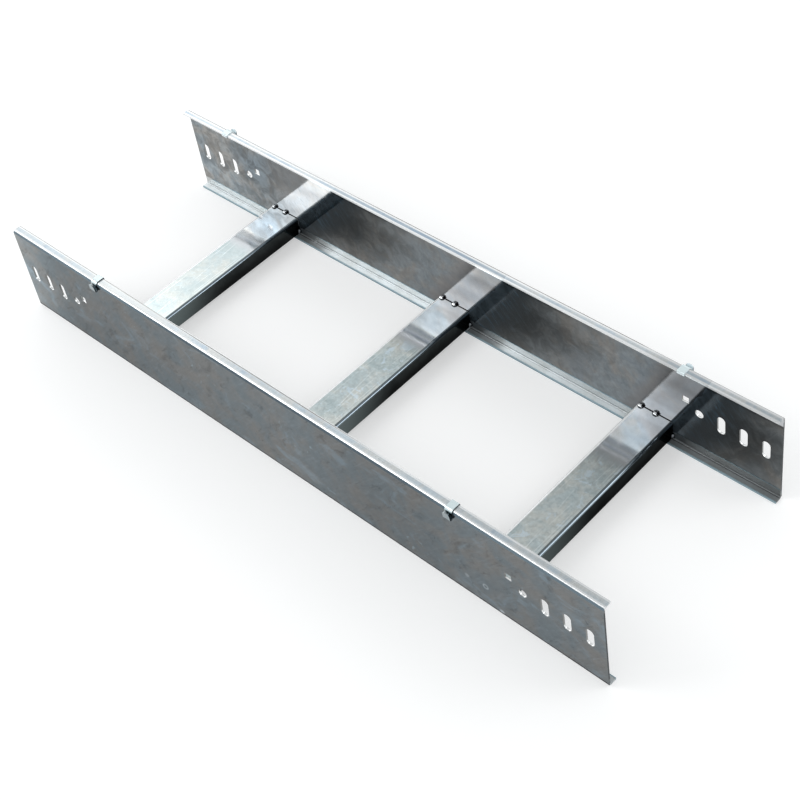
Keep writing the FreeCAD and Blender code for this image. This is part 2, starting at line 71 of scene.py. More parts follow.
# %% Places
RAIL_END = 0.386
RAIL_TOP = 0.107
WEB_OUTSIDE = 0.124
WEB_INSIDE = 0.122
FLANGE_TIP = 0.1145
FOLD = 0.0035
RUNG_PITCH = 0.25
RUNG_TOP = 0.026
RUNG_SIDE = 0.0205
print("the flanges reach", round(1000 * (WEB_OUTSIDE - FLANGE_TIP), 1), "mm inwards")

# %% [markdown]
# ## A small language for materials
#
# A material is a picture of nodes, but a formula is easier to read than a list of links. `Wire`
# holds the output of a node, and sums and products of wires add their own Math nodes. Any other
# node is asked for by its type, with its settings and what goes into its sockets. Masks are
# written with `over`, `under`, `within` and `near`, which are 1 in one part of the ladder and 0
# elsewhere, so that a mark can be laid where it belongs by its place in metres.

# %% Wires
class Wire:
    """The output of a node, which can be used in a sum."""

    def __init__(self, paint, socket):
        self.paint = paint
        self.socket = socket

    def math(self, operation, *others):
        return self.paint.node("Math", {"operation": operation}, *others)

    def __add__(self, other):
        return self.math("ADD", self, other)

    def __radd__(self, other):
        return self.math("ADD", other, self)

    def __sub__(self, other):
        return self.math("SUBTRACT", self, other)

    def __rsub__(self, other):
        return self.math("SUBTRACT", other, self)

    def __mul__(self, other):
        return self.math("MULTIPLY", self, other)

    def __rmul__(self, other):
        return self.math("MULTIPLY", other, self)

    def over(self, low, high):
        """0 below low, 1 above high, and a smooth rise between."""
        return self.paint.node(
            "MapRange", {"interpolation_type": "SMOOTHSTEP"}, self, low, high, 0.0, 1.0
        )

    def under(self, low, high):
        """1 below low, 0 above high."""
        return 1.0 - self.over(low, high)

    def within(self, low, high, soft):
        """1 between low and high, fading out over soft on both sides."""
        return self.over(low - soft, low + soft) * self.under(high - soft, high + soft)

    def near(self, centre, radius):
        """1 at the centre, falling to 0 a radius away from it."""
        return (self - centre).size().under(0.0, radius)

    def size(self):
        """The value without its sign."""
        return self.math("ABSOLUTE", self)

    def past(self, step):
        """How far the value is past the last whole step."""
        return self.math("MODULO", self, step)

    def capped(self):
        """The value, held between 0 and 1."""
        return self.paint.node("Math", {"operation": "ADD", "use_clamp": True}, self, 0.0)


print("a wire can be added, subtracted and multiplied")


# %% Paint
class Paint:
    """One material, or the room's light, made node by node."""

    def __init__(self, name, holder=None, end="OutputMaterial"):
        self.holder = holder or bpy.data.materials.new(name)
        self.holder.use_nodes = True
        self.tree = self.holder.node_tree
        self.tree.nodes.clear()
        self.end = self.tree.nodes.new("ShaderNode" + end)

    def fill(self, socket, value):
        """Link a wire to a socket, or set a plain value on it."""
        if isinstance(value, Wire):
            self.tree.links.new(value.socket, socket)
        else:
            socket.default_value = value

    def node(self, kind, settings, *inputs, out=0, **named):
        node = self.tree.nodes.new("ShaderNode" + kind)
        stops = settings.pop("stops", ())
        for key, value in settings.items():
            setattr(node, key, value)
        if stops:
            ramp = node.color_ramp.elements
            while len(ramp) < len(stops):
                ramp.new(0.5)
            for stop, (place, colour) in zip(ramp, stops):
                stop.position = place
                stop.color = (*colour, 1.0)
        for key, value in enumerate(inputs):
            self.fill(node.inputs[key], value)
        for key, value in named.items():
            self.fill(node.inputs[key.replace("_", " ")], value)
        return Wire(self, node.outputs[out])

    def mix(self, amount, first, second):
        """The first colour where amount is 0, the second where it is 1."""
        node = self.tree.nodes.new("ShaderNodeMix")
        node.data_type = "RGBA"
        self.fill(node.inputs[0], amount)
        for key, colour in ((6, first), (7, second)):
            self.fill(node.inputs[key], colour if isinstance(colour, Wire) else (*colour, 1.0))
        return Wire(self, node.outputs[2])

    def shade(self, colour, factor):
        """The colour, lighter or darker by a factor that may vary."""
        grey = self.node("CombineXYZ", {}, factor, factor, factor)
        return self.node("VectorMath", {"operation": "MULTIPLY"}, colour, grey)

    def place(self):
        """Object coordinates, which on these pieces are the ladder's own metres."""
        return self.node("TexCoord", {}, out=3)

    def facing(self):
        """Which way the surface faces: to the right, to the back and up."""
        return self.split(self.node("NewGeometry", {}, out=1))

    def away(self, place, point):
        """How far the surface is from a point."""
        return self.node("VectorMath", {"operation": "DISTANCE"}, place, point, out=1)

    def split(self, vector):
        node = self.tree.nodes.new("ShaderNodeSeparateXYZ")
        self.tree.links.new(vector.socket, node.inputs[0])
        return [Wire(self, socket) for socket in node.outputs]

    def finish(self, shader):
        self.tree.links.new(shader.socket, self.end.inputs["Surface"])
        return self.holder


print("materials can now be written as sums")

# %% [markdown]
# ## Noises
#
# Nothing on hot-dip zinc is regular, so each pattern starts from Blender's noise. A picture of
# real zinc would bring its own light with it and would repeat, while noise covers every face and
# both rails at the right size. Laid on a stretched place it gives lines, and on a turned one the
# lines lie slanted in the sheet. Its numbers are its scale, detail, roughness and distortion.

# %% Noises
AS_IT_IS = (1.0, 1.0, 1.0)
UNMOVED = (0.0, 0.0, 0.0)


def turned(paint, place, scale=AS_IT_IS, turn=UNMOVED, shift=UNMOVED):
    """The place, scaled, turned or moved."""
    return paint.node(
        "Mapping", {"vector_type": "POINT"}, place, Location=shift, Rotation=turn, Scale=scale
    )


def noise(paint, place, scale, detail, roughness, distortion=0.0):
    return paint.node(
        "TexNoise", {}, place, Scale=scale, Detail=detail, Roughness=roughness,
        Distortion=distortion,
    )


def stretched(paint, place, scale, *grain):
    """Noise with a scale of its own along each axis."""
    return noise(paint, turned(paint, place, scale), 1.0, *grain)


print("noise can be laid straight or stretched")


# %% Slanted places
def slanted(paint, place, angle):
    """The place, turned by an angle in degrees in the plane of a rail's web."""
    return turned(paint, place, turn=(0.0, math.radians(angle), 0.0))


print("patterns can lie slanted in the sheet")

# %% [markdown]
# ## Hot-dip zinc
#
# Fresh zinc is a fairly smooth metal, so it shows its surroundings, but it is not one even grey.
# Soft clouds a few centimetres across drift between blue, green and brown greys, crystals catch
# the light as pale blue flecks, and the sheet was dragged and wiped while the zinc set, which left
# short slanted streaks. Each of these is a noise of its own scale, laid in the ladder's metres.

# %% Clouds
def clouded(paint, place, tones, size, shift=0.0):
    """Three tones of zinc: the first two drift by one cloud, the third by another."""
    moved = turned(paint, place, shift=(shift, 0.3 * shift, 0.0))
    drift = noise(paint, moved, size, 4.0, 0.62, 0.6).over(0.38, 0.64)
    elsewhere = turned(paint, moved, shift=(3.0, 1.0, 2.0))
    other = noise(paint, elsewhere, 0.7 * size, 4.0, 0.6, 0.9).over(0.5, 0.7)
    return paint.mix(other * 0.8, paint.mix(drift, *tones[:2]), tones[2]), drift


print("clouds drift between three tones")


# %% Streaks and flecks
def streaked(paint, place, angle, along, across, low, high):
    """Short fine lines that lie along one slanted direction of the sheet."""
    scale = (along, along, across)
    return stretched(paint, slanted(paint, place, angle), scale, 2.0, 0.5).over(low, high)


def flecked(paint, place):
    """Small irregular flecks, a few millimetres across, in loose groups."""
    group = noise(paint, place, 16.0, 2.0, 0.5).over(0.46, 0.6)
    return noise(paint, place, 110.0, 2.0, 0.6, 0.8).over(0.66, 0.74) * group


print("streaks and flecks lie on the clouds")

# %% [markdown]
# ## Mirror and dents
#
# Zinc is a mirror, if a soft one. A metal in Blender turns white where it is seen at a flat angle,
# which galvanised sheet does much less, so its edge tint is halved. Rolled sheet is never quite
# flat either: very shallow dents bend the mirrored lamps and rungs a little.

# %% Mirror and dents
EDGE_TINT = (0.5, 0.5, 0.5, 1.0)


def dented(paint, height):
    """Very shallow dents, which bend the mirror images in the sheet a little."""
    return paint.node("Bump", {}, Strength=0.3, Distance=0.0007, Height=height)


print("the sheet is dented by less than a millimetre")

# %% [markdown]
# ## Flanges
#
# The flanges were rolled and folded, and they are far paler than the webs, with fine lines along
# the rail and small cross marks from the rollers. The bends carry a painted white highlight, which
# stands in for the lamp that a rounded bend always mirrors, and a thin darker line runs along each
# bend and each cut edge. The lines are laid by their distance from the ladder's middle, which keeps
# them straight.

# %% Rolled faces
def rolled_face(paint, place, far):
    """Clouds of pale zinc with the rollers' lines, bluer on the middle of the far rail."""
    x, _, _ = paint.split(place)
    face, cloud = clouded(
        paint, place, ((0.58, 0.65, 0.70), (0.66, 0.67, 0.66), (0.46, 0.55, 0.64)), 42.0, 5.0
    )
    lines = stretched(paint, place, (3.0, 1100.0, 0.0), 2.0, 0.6)
    rolls = stretched(paint, place, (520.0, 130.0, 0.0), 1.0, 0.5)
    marks = stretched(paint, place, (210.0, 0.0, 0.0), 1.0, 0.5).over(0.66, 0.70)
    face = paint.shade(face, 0.60 + 0.60 * lines + 0.30 * rolls)
    bluish = far * x.within(-0.15, 0.09, 0.05) * (0.35 + 0.5 * cloud)
    face = paint.mix(bluish, face, (0.33, 0.43, 0.54))
    return paint.mix(marks * 0.45, face, (0.88, 0.91, 0.92)), cloud


print("flanges carry the rollers' lines")


# %% Bends and cut edges
def edged_face(paint, place, face, far, rim, pale, outer):
    """White from pale metres out from the middle, and the rim's colour from outer metres on."""
    x, y, _ = paint.split(place)
    out = y.size()
    near = 1.0 - far
    # Painted highlight: the flange's tip, and its bend from pale metres out, are painted white.
    edge = out.under(FLANGE_TIP + 0.0015, FLANGE_TIP + 0.0021)
    white = (out.over(pale, pale + 0.0006) + edge).capped()
    face = paint.mix(white, face, (0.95, 0.96, 0.97))
    # A thin dark line just inside the tip, on the middle of the near rail.
    inner_tip_line = out.within(FLANGE_TIP + 0.0006, FLANGE_TIP + 0.0013, 0.0002)
    face = paint.mix(near * inner_tip_line * x.within(-0.2, 0.1, 0.06), face, (0.08, 0.07, 0.06))
    # Painted light: the near flange is painted paler around the first rung, towards the left end.
    painted_left_light = near * x.within(-0.26, -0.13, 0.05)
    face = paint.mix(painted_left_light * 0.7, face, (0.70, 0.71, 0.70))
    tip = out.under(FLANGE_TIP + 0.0005, FLANGE_TIP + 0.0009)
    face = paint.mix(near * tip * x.under(-0.2, -0.12), face, (0.36, 0.36, 0.35))
    cross_line = (x - 0.0784 - 0.25 * (y + 0.12)).near(0.0, 0.0007)
    cross_line = cross_line * out.over(FLANGE_TIP + 0.0020, FLANGE_TIP + 0.0035)
    face = paint.mix(cross_line * near * 0.55, face, (0.30, 0.36, 0.42))
    ends = near * (x.under(-0.28, -0.1) + x.over(0.15, 0.3)).capped()
    rim = paint.mix(ends, rim, (0.17, 0.225, 0.265))
    browned = 1.0 - far * x.over(0.235, 0.25) - far * x.under(-0.2, -0.05)
    return paint.mix(out.over(outer, outer + 0.0004) * (0.35 + 0.65 * browned), face, rim)


print("bends are white, with a thin line along them")

# %% [markdown]
# ## Feet
#
# The bottom flange is a shelf between the rungs. It is as pale as the top one and painted lighter
# towards the left. Just right of each rung and at the right end it carries a painted shadow, mostly
# on the far rail, and painted shade darkens the crease where the bend begins.

# %% Feet
def foot_colour(paint, place, far, cloud):
    """Pale zinc, a thin line at its tip, and painted shadow and crease shade beside the rungs."""
    x, y, _ = paint.split(place)
    out = y.size()
    foot = paint.mix(cloud, (0.545, 0.58, 0.60), (0.475, 0.50, 0.505))
    # Painted shadow beside the rungs and at the right end, mostly on the far rail.
    after_rung = (x + 0.23).past(RUNG_PITCH).under(0.03, 0.055) * x.over(-0.24, -0.225)
    shadow = (after_rung + x.over(0.25, 0.27)).capped() * (0.1 + 0.9 * far)
    # Painted light: lighter towards the left end.
    foot = paint.shade(foot, (1.0 - 0.62 * shadow) * (1.1 + 0.18 * x.under(0.0, 0.2)))
    # Painted shade in the crease where the bend begins, darkest inside the painted shadow.
    crease_shade = out.within(WEB_OUTSIDE - FOLD - 0.0001, WEB_OUTSIDE - FOLD + 0.0007, 0.0002)
    foot = paint.mix(crease_shade * (0.1 + 0.8 * shadow), foot, (0.05, 0.05, 0.05))
    tip = out.under(FLANGE_TIP + 0.0009, FLANGE_TIP + 0.0013)
    return paint.mix(tip, foot, (0.31, 0.42, 0.47))


print("feet are shadowed beside the rungs")


# %% Flanges
def flange_colour(paint, place, rim, pale, outer):
    """Both flanges of a rail, with painted light and shade along it, darker at the right end."""
    x, y, z = paint.split(place)
    far = y.over(-0.1, 0.1)
    rolled, cloud = rolled_face(paint, place, far)
    face = edged_face(paint, place, rolled, far, rim, pale, outer)
    # Painted light and shade by place along the rail, and painted shade at the right end.
    left = x.under(-0.3, 0.0) * (0.1 - 0.18 * far) - 0.22 * (1.0 - far) * x.under(-0.30, -0.2)
    right = 0.14 * x.over(0.15, 0.32) + 0.16 * far * x.over(0.24, 0.27)
    face = paint.shade(face, 1.0 + left - right)
    return paint.mix(z.under(0.01, 0.02), face, foot_colour(paint, place, far, cloud))


print("flanges are paler than webs")

# %% [markdown]
# ## The rails' outer faces
#
# The webs are the dark, mirror-like part of the ladder. Their zinc is painted much darker than the
# flanges of the same sheet, as painted shade that stands in for a darker floor in their mirror. The
# outer faces are an even grey with slanted smudges, faint streaks, hairline cracks and pale flecks,
# and painted light makes them lighter at the left end and darker right of the middle. Three small
# pale scuffs near the near rail's right end are laid by their distance from a point.

# %% Outer zinc
def outer_zinc(paint, place):
    # The web's greys are painted far darker than the flanges' zinc, as painted shade.
    body, cloud = clouded(
        paint, place, ((0.212, 0.244, 0.262), (0.248, 0.252, 0.250), (0.264, 0.256, 0.244)), 26.0
    )
    mottle = noise(paint, place, 130.0, 3.0, 0.6)
    body = paint.shade(body, 0.84 + 0.32 * mottle)
    flattened = turned(paint, place, (1.0, 1.0, 1.6))
    blue = noise(paint, flattened, 21.0, 4.0, 0.6, 1.0).over(0.54, 0.70)
    body = paint.mix(blue * 0.5, body, (0.310, 0.390, 0.450))
    smudge = stretched(paint, slanted(paint, place, 47.0), (38.0, 38.0, 90.0), 4.0, 0.65, 0.6)
    body = paint.shade(body, 1.0 - 0.26 * smudge.over(0.54, 0.72) * (1.0 - 0.6 * blue))
    crack = noise(paint, place, 30.0, 3.0, 0.6, 1.6).near(0.5, 0.010)
    body = paint.shade(body, 1.0 - 0.30 * crack * smudge.over(0.45, 0.6))
    pale_streaks = streaked(paint, place, 47.0, 55.0, 420.0, 0.5, 0.75)
    body = paint.mix(pale_streaks * 0.12, body, (0.42, 0.48, 0.53))
    dark_streaks = streaked(paint, place, 40.0, 45.0, 330.0, 0.55, 0.75)
    body = paint.mix(dark_streaks * 0.2, body, (0.16, 0.175, 0.19))
    return paint.mix(flecked(paint, place) * 0.4, body, (0.46, 0.60, 0.68)), cloud


print("the outer faces are smudged and flecked")


# %% Outer face
def outer_face(paint, place):
    x, _, _ = paint.split(place)
    body, cloud = outer_zinc(paint, place)
    # Painted light: much lighter at the left end and darker right of the middle.
    light = 1.0 + 0.62 * x.under(-0.40, -0.30) + 0.06 * x.over(-0.2, -0.1)
    body = paint.shade(body, light - 0.17 * x.over(0.02, 0.14) + 0.08 * x.over(0.17, 0.25))
    ring = paint.away(place, (0.2559, -WEB_OUTSIDE, 0.0275)).within(0.0018, 0.0032, 0.0006)
    spot = paint.away(place, (0.272, -WEB_OUTSIDE, 0.005)).under(0.001, 0.004)
    touch = paint.away(place, (0.2345, -WEB_OUTSIDE, 0.0263)).under(0.001, 0.0035)
    scuffs = (0.5 * ring + 0.8 * spot + 0.3 * touch).capped()
    return paint.mix(scuffs, body, (0.62, 0.68, 0.72)), cloud


print("the outer face has three small scuffs")

# %% [markdown]
# ## The far rail's inner face
#
# This face is patchier. Right of each rung a painted reflection of the rung's dark side wall and of
# its shadow on the floor makes it blue-black, and this painted shade fades to brown-grey and then
# blue-grey towards the next rung. Its left edge starts at the rung's top right corner and slants up
# to the right, more steeply at each further rung. Everything is laid by `bay`, the distance to the
# right of that edge, so one pattern serves all three rungs.

# %% Bays
def bays(paint, place, edge):
    """How far a point is right of a painted shade's slanted edge, 1 where it has one to its left.
    """
    x, _, z = paint.split(place)
    slope = 0.824 - 0.88 * x
    beyond = x - slope * (z - RUNG_TOP) - 0.0205 + RUNG_PITCH + edge
    return beyond.past(RUNG_PITCH), beyond.over(0.0, 0.002)


print("mirrored_shades repeat every", RUNG_PITCH, "m")


# %% Painted mirrored shade
def shade_painted(paint, place, body, bay, inside, blotch):
    """Painted mirrored shade: blue-black at its edge, grey further right, brown where it fades."""
    _, _, z = paint.split(place)
    streaks = streaked(paint, place, -52.0, 60.0, 420.0, 0.48, 0.7)
    height = z.under(0.015, 0.05) + z.over(0.065, 0.085)
    # Painted shade: the mirrored rung side wall and its shadowed floor, fading to the right.
    mirrored_shade = (bay + 0.03 * height + 0.016 * (blotch - 0.5)).under(0.04, 0.18) * inside
    core = bay.under(0.012, 0.065) * inside
    brown = bay.within(0.05, 0.14, 0.03) * inside
    body = paint.mix(brown * 0.3, body, (0.200, 0.188, 0.172))
    body = paint.mix(mirrored_shade, body, (0.036, 0.039, 0.040))
    body = paint.mix(core * (0.5 + 0.4 * blotch), body, (0.010, 0.022, 0.031))
    body = paint.mix(streaks * core * (0.1 + 0.5 * blotch), body, (0.07, 0.13, 0.18))
    body = paint.mix(streaks * (1.0 - core) * 0.1, body, (0.13, 0.14, 0.15))
    # Painted reflection of the rung's side wall, a little lighter and bluer at the edge.
    beside_rung = bay.under(0.012, 0.022) * inside * (0.45 + 0.55 * blotch)
    body = paint.mix(beside_rung, body, (0.090, 0.115, 0.135))
    # A thin painted shade line under the flange's bend.
    under_bend_shade = z.over(0.0915, 0.0935) * z.under(0.0945, 0.0960)
    return paint.mix(under_bend_shade * 0.5 * mirrored_shade, body, (0.006, 0.007, 0.009)), mirrored_shade, core


print("the stain is darkest beside its rung")


# %% Between the painted mirrored shades
def between_mirrored_shades(paint, place, body, bay, mirrored_shade, core, blotch):
    """Painted light and shade on the web, from the left end to the right one."""
    x, _, z = paint.split(place)
    # Painted light and shade by place: the left end, its low part and the first rung's mirror
    # image.
    left = x.under(-0.27, -0.22) * (1.0 - core)
    low = z.under(0.03, 0.05) * x.under(-0.28, -0.24)
    first = x.within(-0.26, -0.16, 0.02) * (1.0 - mirrored_shade)
    body = paint.mix(first * 0.6, body, (0.250, 0.247, 0.243))
    # Painted grey where the later rungs are mirrored.
    neutral = bay.over(0.19, 0.205) * x.over(-0.1, -0.05)
    body = paint.mix(neutral * 0.6, body, (0.238, 0.236, 0.240))
    body = paint.shade(body, 1.0 + left * (0.3 * blotch - 0.24) + 0.3 * low)
    body = paint.shade(body, 1.0 + first * (0.34 - 0.36 * z.over(0.05, 0.075)))
    scratches = streaked(paint, place, -48.0, 130.0, 700.0, 0.58, 0.66)
    body = paint.mix(scratches * first * 0.4, body, (0.13, 0.15, 0.16))
    # Painted shade where the rungs are mirrored and towards the top; darker at the right end too.
    before_rung = bay.over(0.195, 0.225) * (0.26 + 0.28 * z.over(0.055, 0.08))
    darker = (before_rung + 0.06 * z.over(0.06, 0.085)) * x.over(-0.14, -0.10)
    body = paint.shade(body, 1.0 + 0.25 * x.under(-0.335, -0.29) - darker)
    patch = paint.away(place, (-0.285, WEB_INSIDE, 0.072)).under(0.005, 0.035)
    body = paint.mix(patch * (0.1 + 0.5 * blotch), body, (0.30, 0.36, 0.41))
    return paint.shade(body, 1.0 - 0.2 * x.over(0.23, 0.28))


print("the web between the mirrored_shades is blue-grey")


# %% Inner face
def inner_face(paint, place):
    """The colour, its clouds, and how much less it mirrors in the painted shade and at the foot."""
    x, _, z = paint.split(place)
    # The web's greys are painted far darker than the flanges' zinc, as painted shade.
    tones = ((0.225, 0.252, 0.268), (0.256, 0.251, 0.241), (0.203, 0.234, 0.258))
    body, cloud = clouded(paint, place, tones, 34.0, 1.7)
    mottle = noise(paint, place, 140.0, 3.0, 0.65)
    blotch = noise(paint, place, 55.0, 4.0, 0.65, 1.0).over(0.35, 0.65)
    body = paint.shade(body, 0.58 + 0.66 * mottle + 0.18 * blotch)
    edge = 0.010 * (noise(paint, place, 120.0, 4.0, 0.65) - 0.5)
    bay, inside = bays(paint, place, edge)
    body, mirrored_shade, core = shade_painted(paint, place, body, bay, inside, blotch)
    # Painted light on the strip of web under the flange, which lies in the flange's shadow.
    body = paint.mix(z.over(0.0945, 0.0960), body, (0.72, 0.74, 0.76))
    body = between_mirrored_shades(paint, place, body, bay, mirrored_shade, core, blotch)
    # A painted reflection of the bottom flange along the foot of the web, lighter towards the left.
    foot = (z + edge * 0.25).under(0.0112, 0.0126)
    body = paint.mix(foot * (0.72 - 0.55 * core), body, (0.47, 0.49, 0.49))
    body = paint.shade(body, 1.0 + 0.4 * foot * (1.0 - core) * x.under(0.0, 0.2))
    return body, cloud, 0.45 * core + 0.15 * foot


print("the inner face is stained right of each rung")

# %% [markdown]
# ## The side rails
#
# Both rails get the same outer face and flanges. The far rail's inner face is mixed in where the
# surface is near the web's inside. The walls of the holes and the sheet's cut ends lie between
# the two faces of the web: the lower half of a hole's wall looks up and is painted white as a
# highlight, the rest is dull. The two rails differ in where the painted white on their bends
# begins and in how smooth they are.

# %% Rails
def cut_walls(paint, place, colour):
    """Dull zinc in the holes, painted white where it looks up, and dark on the sheet's cut ends."""
    x, y, z = paint.split(place)
    end = x.size().over(RAIL_END - 0.0004, RAIL_END - 0.0001)
    between_faces = y.size().within(WEB_INSIDE + 0.0002, WEB_OUTSIDE - 0.0002, 0.0001)
    cut = between_faces * z.within(0.01, 0.1, 0.001)
    # Painted highlight: the hole walls that look up are painted white.
    upward_highlight = paint.facing()[2].over(0.1, 0.5)
    hole = cut * (1.0 - end)
    colour = paint.mix(hole, colour, (0.30, 0.30, 0.29))
    colour = paint.mix(hole * upward_highlight, colour, (0.96, 0.96, 0.96))
    return paint.mix(cut * end, colour, (0.03, 0.035, 0.04)), cut


def rail_zinc(name, with_inner_face, rim, pale, outer, smooth):
    """One rail's finish: smooth is how rough its smoothest parts still are."""
    paint = Paint(name)
    place = paint.place()
    _, y, z = paint.split(place)
    out = y.size()
    body, cloud = outer_face(paint, place)
    dull = 0.0
    if with_inner_face:
        inside = out.under(WEB_INSIDE + 0.0006, WEB_INSIDE + 0.0014)
        inner, cloud, dull = inner_face(paint, place)
        body = paint.mix(inside, body, inner)
        dull = dull * inside
    top_fold = z.over(RAIL_TOP - FOLD - 0.0001, RAIL_TOP - FOLD + 0.0007)
    folded = (top_fold + z.under(FOLD - 0.0005, FOLD + 0.0009)).capped()
    colour = paint.mix(folded, body, flange_colour(paint, place, rim, pale, outer))
    # Painted shade: a thin dark line along the outside of each web's bottom fold.
    bottom_fold_shade = z.under(FOLD + 0.0005, FOLD + 0.0013)
    bottom_fold_shade = out.over(WEB_INSIDE + 0.0004, WEB_INSIDE + 0.0012) * bottom_fold_shade
    colour = paint.mix(bottom_fold_shade, colour, (0.03, 0.03, 0.035))
    colour, cut = cut_walls(paint, place, colour)
    wave = stretched(paint, place, (9.0, 9.0, 22.0), 2.0, 0.5)
    grain = noise(paint, place, 900.0, 2.0, 0.6)
    return paint.finish(paint.node(
        "BsdfPrincipled", {}, Base_Color=colour, Metallic=1.0 - 0.45 * folded - 0.6 * cut - dull,
        Roughness=smooth + 0.04 * cloud + 0.12 * folded,
        Normal=dented(paint, wave + 0.02 * grain), Specular_Tint=EDGE_TINT,
    ))


# pale is where the painted white highlight on each rail's bends begins.
near_zinc = rail_zinc(
    "near_rail_zinc", with_inner_face=False, rim=(0.085, 0.115, 0.140), pale=0.1203,
    outer=0.1225, smooth=0.12,
)
far_zinc = rail_zinc(
    "far_rail_zinc", with_inner_face=True, rim=(0.13, 0.10, 0.08), pale=0.1192,
    outer=0.1215, smooth=0.055,
)
print(near_zinc.name, "has", len(near_zinc.node_tree.nodes), "nodes")
print(far_zinc.name, "has", len(far_zinc.node_tree.nodes), "nodes")

# %% [markdown]
# ## The rungs
#
# The rungs are the palest part from above. Their tops are smooth near the far rail and carry a
# greenish-grey spangle from there to the near rail, with almost white patches and a few long
# scratches, and painted bands of light and shade lie across them. Their side walls are painted far
# darker, as painted shade. All three are one material: `across` is the distance from a rung's own
# middle, and masks along X tell the first and the last rung from the middle one.

# %% Spangle and scratches
def spangle(paint, place, y, face, spangled, first):
    """Crystals of zinc: a fine mottle, pale blue patches and small white swirls."""
    mottle = noise(paint, place, 210.0, 3.0, 0.65, 0.5)
    face = paint.shade(face, 1.0 + spangled * (1.0 - 0.55 * first) * (0.75 * mottle - 0.36))
    patches = noise(paint, place, 62.0, 4.0, 0.7, 0.8).over(0.56, 0.64)
    face = paint.mix(patches * spangled * (0.5 - 0.35 * first), face, (0.66, 0.78, 0.88))
    swirls = noise(paint, place, 260.0, 2.0, 0.6, 2.5).over(0.60, 0.72)
    return paint.mix(swirls * spangled * y.under(-0.08, 0.03) * 0.45, face, (0.84, 0.88, 0.86))


def scratched(paint, place, y, face, across, spangled):
    """Long fine scratches, broken here and there, and a bent one on the smooth part."""
    broken = stretched(paint, place, (40.0, 22.0, 1.0), 2.0, 0.5).over(0.38, 0.6)
    lines = across.near(-0.0135, 0.0005) + across.near(0.0128, 0.0005)
    lines = lines + across.near(0.0155, 0.0006) + (across + 0.09 * y).near(-0.002, 0.0005)
    lines = lines + (across - 0.03 * y).near(0.006, 0.0004)
    face = paint.mix((lines * broken * spangled).capped() * 0.55, face, (0.86, 0.90, 0.90))
    bent = (across + 14.0 * (y - 0.085) * (y - 0.085)).near(0.004, 0.0005)
    return paint.mix(bent * y.within(0.065, 0.11, 0.004) * 0.22, face, (0.36, 0.37, 0.42))


print("rung tops are spangled and scratched")


# %% Rung tops
def rung_top(paint, place, x, y, across):
    """Smooth near the far web, and spangled and scratched from there to the near end."""
    tones = ((0.50, 0.565, 0.575), (0.58, 0.60, 0.575), (0.42, 0.49, 0.50))
    face, cloud = clouded(paint, place, tones, 38.0)
    spangled = y.under(0.045, 0.060)
    first = x.under(-0.2, -0.1)
    last = x.over(0.1, 0.2)
    face = paint.mix((1.0 - spangled) * 0.82, face, (0.548, 0.562, 0.588))
    face = spangle(paint, place, y, face, spangled, first)
    face = scratched(paint, place, y, face, across, spangled)
    # A painted shade band across each top, wider and deeper on the last rung.
    soft = y + 0.008 * (noise(paint, place, 90.0, 2.0, 0.6) - 0.5)
    band = soft.over(0.034, 0.058) * 0.22 + soft.over(0.006, 0.055) * 0.2 * last
    face = paint.shade(face, 1.0 - band * y.under(0.060, 0.064))
    # Painted light and shade along each top by distance from the far rail, set per rung.
    light = 1.06 + 0.42 * y.under(-0.11, 0.065) + 0.2 * y.within(0.0635, 0.067, 0.002)
    light = light + y.within(0.0665, 0.079, 0.004) * (0.75 - 0.15 * first - 0.45 * last)
    light = light + 0.2 * y.within(0.079, 0.098, 0.004) * (1.0 - last)
    light = light + 0.25 * y.over(0.108, 0.114) * (1.0 - first)
    light = light + 0.1 * y.within(-0.02, 0.04, 0.02) * (1.0 - first) * (1.0 - last)
    dim = 0.25 * y.under(0.03, 0.065) + 0.3 * y.over(0.103, 0.115) - 0.12 * y.over(0.06, 0.07)
    return paint.shade(face, light * (1.0 - dim * first - 0.06 * last)), cloud


print("rung tops are smooth near the far rail")


# %% Rung edges and beads
def rung_edges(paint, z, top, across):
    """A painted white highlight on the left bend, and painted shade on and inside the right one."""
    # Painted shade on the right bend and a painted dark line just inside it.
    right_bend = across.over(RUNG_SIDE - 0.0025, RUNG_SIDE - 0.0019)
    top = paint.mix(right_bend, top, (0.24, 0.29, 0.33))
    right_line = across.within(RUNG_SIDE - 0.0033, RUNG_SIDE - 0.0023, 0.0003)
    top = paint.mix(right_line, top, (0.10, 0.12, 0.13))
    # Painted white highlight on the left bend.
    left_edge = across.under(0.0029 - RUNG_SIDE, 0.0035 - RUNG_SIDE) * z.over(0.02, 0.022)
    top = paint.mix(left_edge, top, (0.96, 0.97, 0.97))
    rim = across.under(0.0006 - RUNG_SIDE, 0.0009 - RUNG_SIDE)
    return paint.mix(rim, top, (0.30, 0.25, 0.20)), left_edge


def weld_marks(paint, colour, out, z, across, up):
    """Silvery top beads painted white, a painted shadow right of each, and duller side beads."""
    # The top beads are painted white all over, as a highlight.
    bead = out.over(WEB_INSIDE - 0.0050, WEB_INSIDE - 0.0044)
    bead = bead * z.over(RUNG_TOP + 0.00001, RUNG_TOP + 0.00005)
    # A painted shadow just right of each top bead, on faces that look up.
    bead_shadow = across.within(-0.0146, -0.0122, 0.0003) + across.within(0.0025, 0.0051, 0.0003)
    bead_shadow = bead_shadow.capped() * out.over(WEB_INSIDE - 0.0026, WEB_INSIDE - 0.0022) * up.over(0.0, 0.1)
    low_bead = across.over(RUNG_SIDE + 0.0001, RUNG_SIDE + 0.0003)
    low_bead = low_bead * out.over(WEB_INSIDE - 0.0070, WEB_INSIDE - 0.0060)
    colour = paint.mix(bead, colour, (0.94, 0.95, 0.97))
    colour = paint.mix(bead_shadow * 0.9, colour, (0.03, 0.03, 0.04))
    return paint.mix(low_bead, colour, (0.14, 0.15, 0.16)), bead


print("rungs have bright bends and welded ends")


